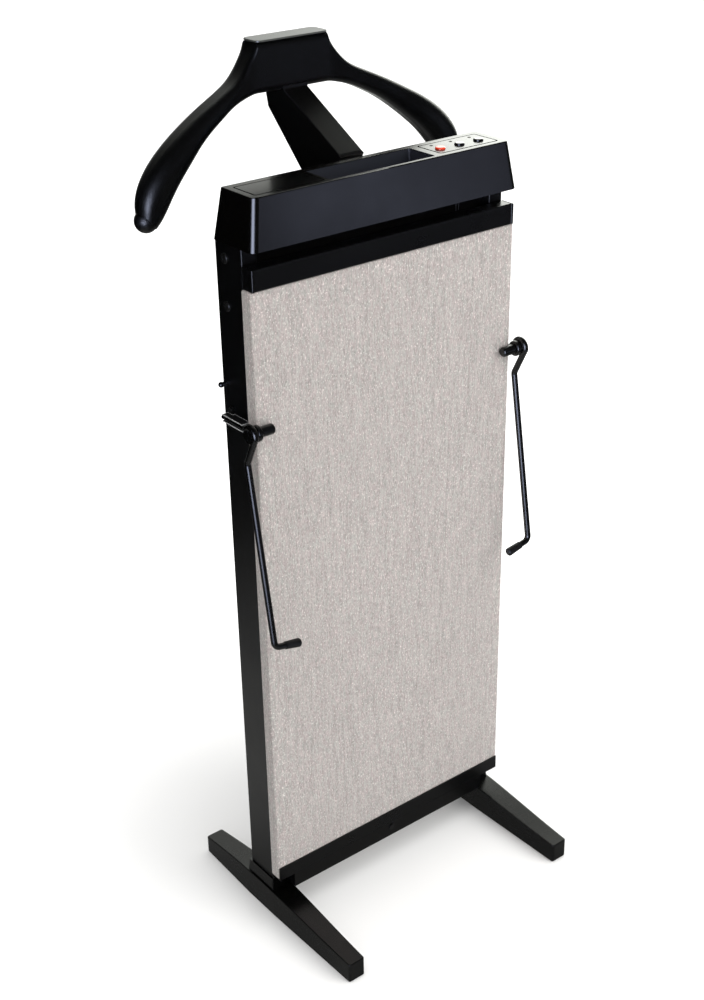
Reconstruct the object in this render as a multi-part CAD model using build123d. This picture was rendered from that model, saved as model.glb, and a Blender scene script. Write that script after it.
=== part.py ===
from build123d import *
import os
import math

# Free-standing trouser press with a jacket hanger.
# Millimetres, +Z up, front towards -Y, right side at +X, origin on the floor below
# the middle of the footprint. The layout below has y = 0 on the front face of the
# tilting panel; save() moves every piece by Y_SHIFT into the final frame.
# "Right" pieces are modelled and mirrored in x = 0 for the left.

# ------------------------------------------------------------ driving sizes
PANEL_HW = 190.0       # half width of the tilting panel
PANEL_T = 16.4         # panel thickness
PANEL_Z0 = 68.2        # underside of the padded panel
PANEL_Z1 = 863.6       # top of the padded panel
LIP_Z = 86.1           # top edge of the lip along the panel's foot
BAR_Z1 = 889.0         # top of the bar on the panel
POST_X = 186.5         # outer face of a side post
POST_W = 20.0
POST_Y0 = 17.2         # post front face
POST_Y1 = 67.2         # post rear face
POST_Z0 = 56.6
POST_Z1 = 907.2
POST_WALL = 1.6
COVER_Z0 = 907.6       # underside of the top cover
COVER_Z1 = 963.8       # top of the top cover
COVER_T = 2.6          # cover wall
FOOT_X0 = 163.6        # foot inner side at its rear end
FOOT_X1 = 188.6        # foot outer side at its rear end
FOOT_YF = -145.0       # foot tip, front
FOOT_YB = 176.3        # foot end, back
GLIDE_H = 1.0          # rubber glide height
HINGE_Y, HINGE_Z = 22.0, 76.0      # panel hinge axis
PIN_R = 3.0            # hinge pin radius
CLAMP_Y, CLAMP_Z = -6.6, 706.0     # clamp bar axis
SLEEVE_R = 6.2         # clamp bar sleeve radius
CORE_R = 4.0           # clamp bar core radius
RUN = 0.06             # radial running clearance
STAY_X = 193.8         # plane of the sliding stay
STAY_R = 3.25          # stay rod radius
STAY_Z = 704.5         # height of the stay's straight leg
LEVER_X = 202.2        # plane of the lever rod
LEVER_R = 3.9          # lever rod radius
HANGER_TOP = 1081.5
NECK_HW = 17.0         # half width of the hanger neck
Y_SHIFT = -29.3        # layout frame to final frame

POST_INNER = POST_X - POST_W
POST_MID = POST_X - POST_W / 2

# Fastener and cable places shared by several pieces
FOOT_BOLT_YS = (30.0, 52.0)
CROSS_SCREW = (48.4, 890.0)        # y, z: post to upper crossmember
CLEAT_SCREW = (48.6, 836.0)        # y, z: post to board cleat
CROSSBAR_SCREW_Z = 55.0
REAR_SCREWS = [(x, z) for x in (-150, 150) for z in (80, 480, 888)]
LEAF_SCREW_X = 141.0
LEAF_SCREW_ZS = (84.0, 96.0)
GUIDE_SCREW = (51.0, STAY_Z + 8.6)  # y, z
COVER_SCREW_X, COVER_SCREW_Y = 120, 45
NECK_BOLT_XS = (-23.5, 23.5)
NECK_BOLT_Z = 889.5
GLAND_X, GLAND_Z = -120, 150

os.makedirs("parts", exist_ok=True)


# ------------------------------------------------------------ helpers
def save(name, *shapes):
    """Write one STEP file; several solids stay separate in one compound."""
    shift = Location((0, Y_SHIFT, 0))
    solids = [solid.moved(shift) for shape in shapes for solid in shape.solids()]
    result = solids[0] if len(solids) == 1 else Compound(children=solids)
    export_step(result, f"parts/{name}.step")


def mirrored(shape):
    return mirror(shape, about=Plane.YZ)


def pair(shape):
    return [shape, mirrored(shape)]


def save_sides(name, right):
    """Write a right piece and its mirror image as two files."""
    save(name + "_right", right)
    save(name + "_left", mirrored(right))


def block(left, right, front, back, bottom, top):
    centre = Pos((left + right) / 2, (front + back) / 2, (bottom + top) / 2)
    return centre * Box(right - left, back - front, top - bottom)


def round_block(left, right, front, back, bottom, top, radius, axis=None):
    """Block with all edges rounded, or only those along one axis."""
    shape = block(left, right, front, back, bottom, top)
    edges = shape.edges() if axis is None else shape.edges().filter_by(axis)
    return fillet(edges, radius)


def rod_x(left, right, y, z, radius):
    return Pos((left + right) / 2, y, z) * (Rot(0, 90, 0) * Cylinder(radius, right - left))


def rod_y(front, back, x, z, radius):
    return Pos(x, (front + back) / 2, z) * (Rot(90, 0, 0) * Cylinder(radius, back - front))


def rod_z(bottom, top, x, y, radius):
    return Pos(x, y, (bottom + top) / 2) * Cylinder(radius, top - bottom)


def prism_x(points, left, right):
    """Extrude a y-z outline along X."""
    face = make_face(Polyline(*[(0, y, z) for y, z in points], close=True))
    return Pos(left, 0, 0) * extrude(face, amount=right - left, dir=(1, 0, 0))


def inset(rect, gap_x, gap_y=None):
    """Shrink a rectangle given as (low, high, low, high)."""
    gap_y = gap_x if gap_y is None else gap_y
    return (rect[0] + gap_x, rect[1] - gap_x, rect[2] + gap_y, rect[3] - gap_y)


def round_end(shape, axis, radius, index=-1):
    """Round the first (0) or last (-1) edge along an axis."""
    return fillet(shape.edges().sort_by(axis)[index], radius)


def wire_rod(path, radius):
    """Sweep a circle along a path."""
    return sweep(Plane(origin=path @ 0, z_dir=path % 0) * Circle(radius), path=path)


# ------------------------------------------------------------ feet
# Side outline as (y, z): a curved top, then straight down and round the sole
FOOT_CROWN = [
    (FOOT_YF, 28.5), (-100.0, 31.0), (-62.0, 34.0), (-25.0, 37.0), (12.0, 39.2),
    (40.0, 39.6), (68.0, 38.8), (120.0, 33.5), (FOOT_YB, 25.2)]
FOOT_SOLE = [
    (FOOT_YB, 25.2), (FOOT_YB, GLIDE_H + 1), (FOOT_YB - 1, GLIDE_H),
    (FOOT_YF + 1, GLIDE_H), (FOOT_YF, GLIDE_H + 1), (FOOT_YF, 28.5)]
# Plan outline as (x, y), widest around the post
FOOT_PLAN = [
    (164.7, FOOT_YF), (188.3, FOOT_YF), (192.0, 12.0), (192.0, 68.0),
    (FOOT_X1, FOOT_YB), (FOOT_X0, FOOT_YB), (161.0, 68.0), (161.0, 12.0)]
FOOT_WALL = 3.5
BOSS_Y = 44.1


def is_foot_top_edge(edge):
    centre = edge.center()
    level = abs((edge @ 0).Z - (edge @ 1).Z) < 14
    inside = abs(centre.X - POST_MID) < 7 and -140 < centre.Y < 170
    return centre.Z > 24 and level and not inside


def foot():
    side = make_face(Spline(*[(0, y, z) for y, z in FOOT_CROWN])
                     + Polyline(*[(0, y, z) for y, z in FOOT_SOLE]))
    plan = make_face(Polyline(*FOOT_PLAN, close=True))
    plan = fillet(plan.vertices().filter_by(lambda v: v.Y < -140 or v.Y > 170), 3.0)
    shape = (Pos(150, 0, 0) * extrude(side, amount=50, dir=(1, 0, 0))) & extrude(plan, amount=80)
    shape = fillet(shape.edges().filter_by(is_foot_top_edge), 1.2)
    # raised boss that takes the post
    shape += loft([Pos(176.95, BOSS_Y, 36.0) * RectangleRounded(26.3, 56.0, 2.0),
                   Pos(176.7, BOSS_Y, POST_Z0) * RectangleRounded(23.6, 52.2, 2.0)])
    # hollow from below, in front of and behind the boss
    inner, outer = FOOT_X0 + FOOT_WALL, FOOT_X1 - FOOT_WALL
    shape -= block(inner, outer, FOOT_YF + 48, 8, GLIDE_H - 1, 24.5)
    shape -= block(inner, outer, 78, FOOT_YB - 48, GLIDE_H - 1, 22.5)
    for y in FOOT_BOLT_YS:
        shape -= rod_z(0, 60, POST_MID, y, 3.3)
        shape -= rod_z(0, 12, POST_MID, y, 7.0)
    return shape


def foot_glides():
    glides = []
    for front, back in ((FOOT_YF + 2.5, FOOT_YF + 46), (FOOT_YB - 46, FOOT_YB - 2.5)):
        glides += pair(round_block(POST_MID - 9.3, POST_MID + 9.3, front, back,
                                   0, GLIDE_H, 3, Axis.Z))
    return glides


save_sides("foot", foot())
save("foot_glides", *foot_glides())


# ------------------------------------------------------------ side posts
def side_post():
    plan = (POST_INNER, POST_X, POST_Y0, POST_Y1)
    post = round_block(*plan, POST_Z0, POST_Z1, 1.6, Axis.Z)
    # hollow, open at the top, with a thick floor for the foot bolts
    post -= block(*inset(plan, POST_WALL), POST_Z0 + 8, POST_Z1 + 1)
    for y in FOOT_BOLT_YS:
        post -= rod_z(POST_Z0 - 1, POST_Z0 + 10, POST_MID, y, 2.6)
    for y, z in (CROSS_SCREW, CLEAT_SCREW):
        post -= rod_x(POST_INNER - 1, POST_X + 1, y, z, 2.6)
    return post - rod_x(184, 188, *GUIDE_SCREW, 1.65)


def foot_bolts():
    bolts = []
    for y in FOOT_BOLT_YS:
        bolt = rod_z(7.1, 12.0, POST_MID, y, 6.2) - rod_z(5, 9.6, POST_MID, y, 2.6)
        bolt += rod_z(11.9, POST_Z0 + 7.5, POST_MID, y, 2.5)
        bolts += pair(bolt)
    return bolts


def post_screws():
    screws = []
    for y, z in (CROSS_SCREW, CLEAT_SCREW):
        screw = round_end(rod_x(POST_X, POST_X + 2.2, y, z, 5.8), Axis.X, 0.9)
        screw -= rod_x(POST_X + 1.0, POST_X + 3, y, z, 2.4)
        screw += rod_x(POST_INNER - 3.0, POST_X + 0.1, y, z, 2.5)
        screws += pair(screw)
    return screws


save_sides("side_post", side_post())
save("foot_bolts", *foot_bolts())
save("post_screws", *post_screws())

# ------------------------------------------------------------ crossbar, crossmember, ears
CROSSBAR_TOP = 64.0


def closed_channel(half_length, section, plate_t):
    """Hollow bar along X with end plates; section is (front, back, bottom, top)."""
    bar = round_block(-half_length, half_length, *section, 2.0, Axis.X)
    bar -= block(-170, 170, *inset(section, 2.0))
    plate = block(half_length - plate_t, half_length, *inset(section, 1.5))
    return bar + (plate + mirrored(plate))


def upper_crossmember():
    bar = closed_channel(166.3, (30.0, 64.0, 872.0, 905.0), 3.0)
    for hole in pair(rod_x(160, 168, *CROSS_SCREW, 2.6)):
        bar -= hole
    for x in (-COVER_SCREW_X, COVER_SCREW_X):
        bar -= rod_z(900, 908, x, COVER_SCREW_Y, 2.1)
    for x in NECK_BOLT_XS:
        bar -= rod_y(61, 65, x, NECK_BOLT_Z, 2.2)
    return bar


def hinge_ear():
    ear = block(148.0, 151.0, 18.5, 30.0, CROSSBAR_TOP, 84.0)
    upper = ear.edges().filter_by(Axis.X).filter_by(lambda e: e.center().Z > 80)
    ear = fillet(upper, 4.0)
    ear += block(140.0, 151.0, 18.5, 30.0, CROSSBAR_TOP, CROSSBAR_TOP + 2)
    return ear - rod_x(147, 152, HINGE_Y, HINGE_Z, PIN_R + RUN)


save("lower_crossbar", closed_channel(163.4, (2.0, 50.0, 40.0, CROSSBAR_TOP), 2.0)
     - rod_y(0, 5, 0, CROSSBAR_SCREW_Z, 2.4))
save("crossbar_screw", rod_y(0.6, 2.0, 0, CROSSBAR_SCREW_Z, 4.2)
     + rod_y(1.9, 6.0, 0, CROSSBAR_SCREW_Z, 2.3))
save("upper_crossmember", upper_crossmember())
save("hinge_ears", *pair(hinge_ear()))

# ------------------------------------------------------------ rear cover
REAR_Y = 67.0          # rear face
LOUVRE_COUNT = 9
LOUVRE_PITCH = 9


def rear_cover():
    cover = round_block(-166.0, 166.0, REAR_Y - 2, REAR_Y, 60.0, 905.5, 0.8, Axis.Y)
    for i in range(LOUVRE_COUNT):
        bottom = 770 + i * LOUVRE_PITCH
        cover -= block(-70, 70, 64, 68, bottom, bottom + 4)
    for x, z in REAR_SCREWS:
        cover -= rod_y(64, 68, x, z, 1.9)
    cover -= rod_y(64, 68, GLAND_X, GLAND_Z, 6.1)
    for x in NECK_BOLT_XS:
        cover -= rod_y(64, 68, x, NECK_BOLT_Z, 2.2)
    return cover


def rear_screw(x, z):
    head = rod_y(REAR_Y, REAR_Y + 1.8, x, z, 3.6)
    return head + rod_y(64.9, 67.1, x, z, 1.8) - rod_y(68.0, 69, x, z, 1.2)


save("rear_cover", rear_cover())
save("rear_screws", *[rear_screw(x, z) for x, z in REAR_SCREWS])

# ------------------------------------------------------------ fixed board and heater
BOARD_HW = 165.8       # half width of the fixed board and its pad
BOARD_Z0 = 102.0

cleat = block(150, BOARD_HW, 44.1, 60.8, 110, 860) - rod_x(162, 170, *CLEAT_SCREW, 2.55)

save("pressing_board", block(-BOARD_HW, BOARD_HW, 29.0, 44.0, BOARD_Z0, 870.0))
save("board_cleats", *pair(cleat))
save("heating_mat", round_block(-150, 150, 27.4, 28.8, 140, 836, 0.9, Axis.Y))
save("fixed_pad",
     round_block(-BOARD_HW, BOARD_HW, POST_Y0, 27.2, BOARD_Z0, 884.0, 1.5, Axis.Z))
save("heater_leads", *[rod_z(838.0, 935.0, x, 28.15, 0.55) for x in (124.0, 128.0)])

# ------------------------------------------------------------ top cover
# Plan rectangles: left, right, front, back
COVER_BASE = (-189.0, 189.0, -6.6, 66.0)
COVER_ROOF = (-180.2, 180.2, -0.2, 59.8)
TRAY = (-76.5, 71.5, 4.6, 50.6)
BLANK_SEAT = (-172.0, -80.5, 7.5, 49.5)
FASCIA_SEAT = (81.5, 170.5, 7.5, 50.5)
TRAY_DEPTH = 27.0
SEAT_DEPTH = 1.2
SEAT_GAP = 0.8         # between a seat and the plate in it
BOSS_TOP = 930.0       # top of the right screw boss and its rib


def cover_section(rect, z, front_radius, back_radius):
    left, right, front, back = rect
    corners = [(left, front, z), (right, front, z), (right, back, z), (left, back, z)]
    face = make_face(Polyline(*corners, close=True))
    front_corners = face.vertices().filter_by(lambda v: v.Y < (front + back) / 2)
    face = fillet(front_corners, front_radius)
    return fillet(face.vertices().sort_by(Axis.Y)[-2:], back_radius)


def tray_section(rect, z):
    left, right, front, back = rect
    place = Pos((left + right) / 2, (front + back) / 2, z)
    return place * RectangleRounded(right - left, back - front, 3.0)


def top_cover():
    outer = loft([cover_section(COVER_BASE, COVER_Z0, 8.5, 3.0),
                  cover_section(COVER_ROOF, COVER_Z1, 8, 2.6)])
    outer = fillet(outer.faces().sort_by(Axis.Z)[-1].edges(), 1.2)
    roof_inside = inset(COVER_ROOF, COVER_T - 0.4, COVER_T - 0.3)
    inner = loft([cover_section(inset(COVER_BASE, COVER_T), COVER_Z0 - 0.5, 6.0, 1.2),
                  cover_section(roof_inside, COVER_Z1 - COVER_T, 5.5, 1.0)])
    cover = outer - inner
    # tray, open at the top
    tray_floor = COVER_Z1 - TRAY_DEPTH
    cover += round_block(*inset(TRAY, -2), tray_floor - 2, COVER_Z1 - 1.0, 3.0, Axis.Z)
    cover -= loft([tray_section(inset(TRAY, 1.5), tray_floor),
                   tray_section(TRAY, COVER_Z1 + 0.2)])
    # shallow seats for the blank plate and the fascia, cut through under the fascia
    seat_floor = COVER_Z1 - SEAT_DEPTH
    cover -= round_block(*BLANK_SEAT, seat_floor, COVER_Z1 + 1, 3.0, Axis.Z)
    cover -= round_block(*FASCIA_SEAT, seat_floor, COVER_Z1 + 1, 4.0, Axis.Z)
    cover -= round_block(88, 164, 12, 47, COVER_Z1 - 6, COVER_Z1, 3.0, Axis.Z)
    # screw bosses over the upper crossmember
    for x, top in ((-COVER_SCREW_X, COVER_Z1 - 2.0), (COVER_SCREW_X, BOSS_TOP)):
        cover += rod_z(COVER_Z0, top, x, COVER_SCREW_Y, 4.0)
        cover -= rod_z(COVER_Z0 - 1, 925, x, COVER_SCREW_Y, 1.6)
    # rib joining the right boss to the back wall
    cover += block(COVER_SCREW_X - 3.5, COVER_SCREW_X + 3.5, 47.5, 62.0,
                   COVER_Z0 + 1, BOSS_TOP)
    return cover


def cover_screw(x):
    return rod_z(899.0, 902.9, x, COVER_SCREW_Y, 3.6) + rod_z(902.8, 920, x, COVER_SCREW_Y, 1.55)


save("top_cover", top_cover())
save("cover_screws", *[cover_screw(x) for x in (-COVER_SCREW_X, COVER_SCREW_X)])
save("blank_plate", round_block(*inset(BLANK_SEAT, SEAT_GAP), COVER_Z1 - 1.15,
                                COVER_Z1 + 0.05, 2.8, Axis.Z))

# ------------------------------------------------------------ controls
BUTTONS = [(95.6 + 29.0 * i, 24.6) for i in range(3)]   # x, y
LAMPS = [(x + 1.4, 41.8) for x, y in BUTTONS]           # x, y
BUTTON_Z0 = COVER_Z1 - 6.0
CIRCUIT_Z0, CIRCUIT_Z1 = 944.0, 945.6                   # control board faces


def control_fascia():
    fascia = round_block(*inset(FASCIA_SEAT, SEAT_GAP), COVER_Z1 - 1.15,
                         COVER_Z1 + 0.1, 3.8, Axis.Z)
    for places, radius in ((BUTTONS, 6.2), (LAMPS, 2.2)):
        for x, y in places:
            fascia -= rod_z(950, 970, x, y, radius)
    return fascia


def button(x, y):
    shape = round_end(rod_z(BUTTON_Z0, COVER_Z1 + 2.4, x, y, 6.0), Axis.Z, 1.6)
    shape += rod_z(BUTTON_Z0, BUTTON_Z0 + 1.4, x, y, 7.4)          # retaining flange
    return shape + rod_z(COVER_Z1 - 11.0, COVER_Z1 - 5.9, x, y, 2.0)  # stem


def lamp(x, y):
    return round_end(rod_z(COVER_Z1 - 8.0, COVER_Z1 + 0.5, x, y, 2.1), Axis.Z, 0.6)


def control_board():
    board = block(84, 166, 10, 49, CIRCUIT_Z0, CIRCUIT_Z1)
    return board - (rod_z(940, 950, 90, 44, 1.6) + rod_z(940, 950, 162, 14, 1.6))


def switch(x, y):
    return block(x - 3, x + 3, y - 3, y + 3, CIRCUIT_Z1, 950.8)


save("control_fascia", control_fascia())
button_names = ("power_button", "timer_button_short", "timer_button_long")
for name, place in zip(button_names, BUTTONS):
    save(name, button(*place))
save("indicator_lamps", *[lamp(x, y) for x, y in LAMPS])
save("control_board", control_board())
save("board_switches", *[switch(x, y) for x, y in BUTTONS])
save("transformer", block(92, 118, 14, 40, 930.0, CIRCUIT_Z0 - 0.1))
save("lamp_stems", *[rod_z(CIRCUIT_Z1 + 0.1, COVER_Z1 - 8.1, x, y, 1.8) for x, y in LAMPS])

# ------------------------------------------------------------ tilting panel
LEAF_SCREWS = [(x, z) for x in (-LEAF_SCREW_X, LEAF_SCREW_X) for z in LEAF_SCREW_ZS]
PAD_BACK = PANEL_T - 0.2
LIP_FRONT, LIP_Z0 = -1.6, 66.6
TOP_BAR_HW = 184.0
TOP_BAR_Z0 = PANEL_Z1 + 0.1
LEAF_BACK = 18.2       # rear face of the hinge leaf


def panel_board():
    board = block(-PANEL_HW + 6, PANEL_HW - 6, 4.4, PANEL_T, 74.0, PANEL_Z1)
    for x, z in LEAF_SCREWS:
        board -= rod_y(8, 20, x, z, 1.5)
    return board


def panel_pad():
    """Padding round the front, sides and foot of the panel board."""
    pad = round_block(-PANEL_HW, PANEL_HW, 0, PAD_BACK, PANEL_Z0, PANEL_Z1, 2.2, Axis.Z)
    return pad - block(-PANEL_HW + 5.9, PANEL_HW - 5.9, 4.3, 30, 73.9, PANEL_Z1 + 1)


def panel_lip():
    half_width = PANEL_HW - 1
    front = block(-half_width, half_width, LIP_FRONT, -0.05, LIP_Z0, LIP_Z)
    return front + block(-half_width, half_width, LIP_FRONT, PAD_BACK,
                         LIP_Z0, PANEL_Z0 - 0.05)


def hinge_leaf():
    leaf = block(138.0, 146.5, PANEL_T, LEAF_BACK, 79.0, 100.0)
    leaf += block(144.5, 146.5, 18.1, 25.5, 71.0, 83.0)
    leaf += block(144.5, 146.5, PANEL_T, LEAF_BACK, 78.0, 83.0)
    leaf -= rod_x(144, 147, HINGE_Y, HINGE_Z, PIN_R)
    for z in LEAF_SCREW_ZS:
        leaf -= rod_y(15, 19, LEAF_SCREW_X, z, 1.6)
    return leaf


def hinge_pin():
    pin = rod_x(142.6, 152.6, HINGE_Y, HINGE_Z, PIN_R)
    pin += rod_x(151.5, 153.0, HINGE_Y, HINGE_Z, 4.4)
    return pin + rod_x(141.8, 144.4, HINGE_Y, HINGE_Z, 3.8)


def leaf_screw(x, z):
    return rod_y(LEAF_BACK, 19.6, x, z, 2.6) + rod_y(10.0, 18.3, x, z, 1.45)


save("panel_board", panel_board())
save("panel_pad", panel_pad())
save("panel_lip", panel_lip())
save("panel_top_bar", round_block(-TOP_BAR_HW, TOP_BAR_HW, -2.2, PANEL_T,
                                  TOP_BAR_Z0, BAR_Z1, 2.0, Axis.X))
save("bar_end_caps", *pair(round_block(TOP_BAR_HW, 187.8, -2.8, PANEL_T + 0.2,
                                       TOP_BAR_Z0, BAR_Z1, 1.5)))
save("hinge_leaves", *pair(hinge_leaf()))
save("hinge_pins", *pair(hinge_pin()))
save("leaf_screws", *[leaf_screw(x, z) for x, z in LEAF_SCREWS])

# ------------------------------------------------------------ stays and their guides
PEG_Y, PEG_Z = 58.4, 743.0


def stay_guide():
    """Channel open to the outside, with a screw tab above it."""
    half_height = STAY_R + 1.2
    guide = block(POST_X, STAY_X + 3.4, POST_Y0 + 0.1, 56.0,
                  STAY_Z - half_height, STAY_Z + half_height)
    guide -= block(POST_X + 1.4, STAY_X + 6, 10, 80,
                   STAY_Z - STAY_R - RUN, STAY_Z + STAY_R + RUN)
    guide += block(POST_X, POST_X + 3.0, 46.0, 56.0, STAY_Z + STAY_R + 1.0, STAY_Z + 13.0)
    return guide - rod_x(POST_X - 1, POST_X + 4, *GUIDE_SCREW, 1.7)


def guide_screw():
    head = rod_x(POST_X + 3.0, POST_X + 4.4, *GUIDE_SCREW, 3.0)
    return head + rod_x(POST_X - 1.4, POST_X + 3.1, *GUIDE_SCREW, 1.6)


def stay_rod():
    """Straight rod with a ring, as thick as the rod, round the clamp bar core."""
    hole_radius = CORE_R + RUN
    stay = rod_x(STAY_X - STAY_R, STAY_X + STAY_R, CLAMP_Y, CLAMP_Z, hole_radius + 5.6)
    stay = fillet(stay.edges().filter_by(GeomType.CIRCLE), 2.2)
    stay += rod_y(CLAMP_Y + 4.0, 58.5, STAY_X, STAY_Z, STAY_R - 0.01)
    return stay - rod_x(STAY_X - 5, STAY_X + 5, CLAMP_Y, CLAMP_Z, hole_radius)


def side_peg():
    peg = rod_x(POST_X, 195.0, PEG_Y, PEG_Z, 2.6) + Pos(194.6, PEG_Y, PEG_Z) * Sphere(3.4)
    return peg - block(POST_X - 5, POST_X, 50, 66, PEG_Z - 6, PEG_Z + 6)


save_sides("stay_guide", stay_guide())
save("guide_screws", *pair(guide_screw()))
save_sides("stay_rod", stay_rod())
save("side_pegs", *pair(side_peg()))

# ------------------------------------------------------------ clamp levers
ARCH_R = 9.2           # arch of the lever rod over the clamp bar
ARCH_START = math.radians(35)
ARCH_END = math.radians(192)
LEVER_KINK = (LEVER_X, 2.0, 669.0)
LEVER_BEND = (LEVER_X, -34.5, 446.0)
LEVER_END = (170.0, -34.2, 439.5)
CORE_X0 = 174.5        # inner end of the clamp bar core


def arch_point(angle):
    return (LEVER_X, CLAMP_Y + ARCH_R * math.cos(angle), CLAMP_Z + ARCH_R * math.sin(angle))


def lever_rod():
    arch_end = arch_point(ARCH_END)
    arch = ThreePointArc(arch_point(ARCH_START), arch_point((ARCH_START + ARCH_END) / 2),
                         arch_end)
    leg = FilletPolyline(arch_end, LEVER_KINK, LEVER_BEND, LEVER_END, radius=8.0)
    lever = wire_rod(arch, LEVER_R) + wire_rod(leg, LEVER_R) + Pos(*arch_end) * Sphere(LEVER_R)
    lever += rod_x(LEVER_X - 4.4, LEVER_X + 3.4, CLAMP_Y, CLAMP_Z, 9.0)   # hub disc
    lever += rod_x(CORE_X0, LEVER_X, CLAMP_Y, CLAMP_Z, CORE_R)            # clamp bar core
    return lever - block(150, 171, -60, 0, 430, 450)                      # trim the end


def bar_sleeve():
    sleeve = rod_x(171.5, 189.9, CLAMP_Y, CLAMP_Z, SLEEVE_R)
    sleeve = round_end(sleeve, Axis.X, 3.0, index=0)
    return sleeve - rod_x(CORE_X0, 193, CLAMP_Y, CLAMP_Z, CORE_R)


def lever_grip(lever):
    direction = (Vector(*LEVER_END) - Vector(*LEVER_BEND)).normalized()
    start = Vector(*LEVER_END) - direction * 18.0
    grip = Plane(origin=start, z_dir=direction) * (Pos(0, 0, 11.0) * Cone(4.7, 5.5, 22.0))
    grip = fillet(grip.edges().filter_by(GeomType.CIRCLE).sort_by(Axis.X)[0], 3.0)
    grip -= lever
    return max(grip.solids(), key=lambda solid: solid.volume)


right_lever = lever_rod()
save_sides("lever_rod", right_lever)
save_sides("bar_sleeve", bar_sleeve())
save_sides("lever_grip", lever_grip(right_lever))

# ------------------------------------------------------------ hanger neck
# Side outlines as (y, z)
NECK_OUTLINE = [
    (64.5, 965.0), (68.0, 968.0), (168.0, 1024.0), (168.0, 1027.5), (203.6, 1027.5),
    (203.4, 1014.0), (199.5, 997.5), (141.0, 938.5), (74.0, 873.0), (67.1, 873.0),
    (67.1, 962.0)]
NECK_HOLLOW = [
    (74.0, 957.0), (74.0, 884.0), (138.0, 944.5), (186.0, 993.0), (186.0, 1016.0),
    (174.0, 1016.0)]
FLANGE_BACK = 70.6


def is_neck_side_edge(edge):
    return edge.length > 40 and abs(edge.center().X) > 16 and edge.center().Y > 70


def hanger_neck():
    neck = prism_x(NECK_OUTLINE, -NECK_HW, NECK_HW)
    neck = fillet(neck.edges().filter_by(is_neck_side_edge), 1.6)
    neck += block(-9, 9, 176, 196, 1026, 1046)                                 # tenon
    neck += round_block(-30, 30, 67.1, FLANGE_BACK, 876.0, 903.0, 4, Axis.Y)   # flange
    for x in NECK_BOLT_XS:
        neck -= rod_y(64, 74, x, NECK_BOLT_Z, 2.2)
    return neck - prism_x(NECK_HOLLOW, -NECK_HW + 3, NECK_HW - 3)


def neck_bolt(x):
    head = rod_y(FLANGE_BACK, 73.4, x, NECK_BOLT_Z, 4.0)
    return head + rod_y(62.2, 70.7, x, NECK_BOLT_Z, 2.1)


save("hanger_neck", hanger_neck())
save("neck_bolts", *[neck_bolt(x) for x in NECK_BOLT_XS])

# ------------------------------------------------------------ jacket hanger
# Stations from the middle to the tip of the right arm:
# upper x, upper z, lower x, lower z, centre y, half depth, corner radius
ARM_STATIONS = [
    (49.6, 1079.5, 49.6, 1022.5, 184.4, 16.0, 8.0),
    (58.8, 1062.0, 60.5, 1021.0, 183.2, 16.0, 8.0),
    (70.2, 1048.6, 75.0, 1017.2, 181.0, 16.2, 8.6),
    (82.0, 1039.6, 88.0, 1012.5, 178.2, 16.4, 9.4),
    (98.8, 1031.4, 100.0, 1006.6, 174.5, 16.6, 10.0),
    (125.6, 1019.2, 117.5, 997.0, 170.0, 17.0, 10.0),
    (154.0, 1005.0, 138.0, 982.5, 165.5, 18.0, 12.0),
    (178.0, 991.6, 157.5, 966.0, 160.0, 19.5, 14.0),
    (201.0, 975.0, 177.0, 947.0, 155.6, 20.0, 15.5),
    (217.0, 958.6, 190.5, 929.5, 153.0, 19.0, 16.0),
    (226.5, 942.0, 201.5, 914.0, 151.4, 17.0, 15.0),
    (229.8, 924.5, 211.0, 903.5, 150.4, 13.8, 13.2)]
HANGER_Y = 184.4       # middle of the hanger's centre block


def arm_section(upper_x, upper_z, lower_x, lower_z, y, half_depth, radius):
    height = math.hypot(upper_x - lower_x, upper_z - lower_z)
    upward = Vector(upper_x - lower_x, 0, upper_z - lower_z).normalized()
    plane = Plane(origin=((upper_x + lower_x) / 2, y, (upper_z + lower_z) / 2),
                  x_dir=upward, z_dir=Vector(upward.Z, 0, -upward.X))
    return plane * RectangleRounded(height, 2 * half_depth, min(radius, height / 2 - 0.3))


def hanger_body():
    arm = loft([arm_section(*station) for station in ARM_STATIONS])
    arm += Pos(220.2, 150.4, 914.2) * Sphere(13.5)
    middle = loft([Plane(origin=(x, HANGER_Y, 1051.0), x_dir=(0, 0, 1), z_dir=(1, 0, 0))
                   * RectangleRounded(57.0, 32.0, 8.0) for x in (-49.6, 49.6)])
    body = middle + arm + mirrored(arm)
    # socket for the tenon and recess for the neck
    body -= block(-9.2, 9.2, 175.8, 196.2, 1020, 1046.4)
    return body - block(-17.3, 17.3, 160.0, 210.0, 1010, 1027.7)


def hanger_cap():
    cap = Pos(0, HANGER_Y, HANGER_TOP - 1.9) * extrude(
        RectangleRounded(101.4, 31.6, 7.6), amount=1.9)
    return fillet(cap.edges().group_by(Axis.Z)[-1], 0.7)


save("hanger_body", hanger_body())
save("hanger_cap", hanger_cap())

# ------------------------------------------------------------ mains cable
HOOK_X = -88
HOOK_ZS = (560.0, 300.0)
COIL_R = 22.0          # end radius of the cable loops
CABLE_R = 3.2
LOOP_PITCH = 7.0
LOOP_YS = (74.2, 81.2, 88.2)
CABLE_Y = LOOP_YS[-1]  # rearmost loop, lead and tail
LEAD_X = HOOK_X - COIL_R
TAIL_X = HOOK_X + COIL_R
PLUG_X = -48
LEAD_PATH = [(GLAND_X, 62.5, GLAND_Z), (GLAND_X, CABLE_Y, GLAND_Z), (GLAND_X, CABLE_Y, 240),
             (LEAD_X, CABLE_Y, 320), (LEAD_X, CABLE_Y, 420)]
TAIL_PATH = [(TAIL_X, CABLE_Y, 430), (TAIL_X, CABLE_Y, 372), (PLUG_X, CABLE_Y, 330),
             (PLUG_X, CABLE_Y, 268)]


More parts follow.
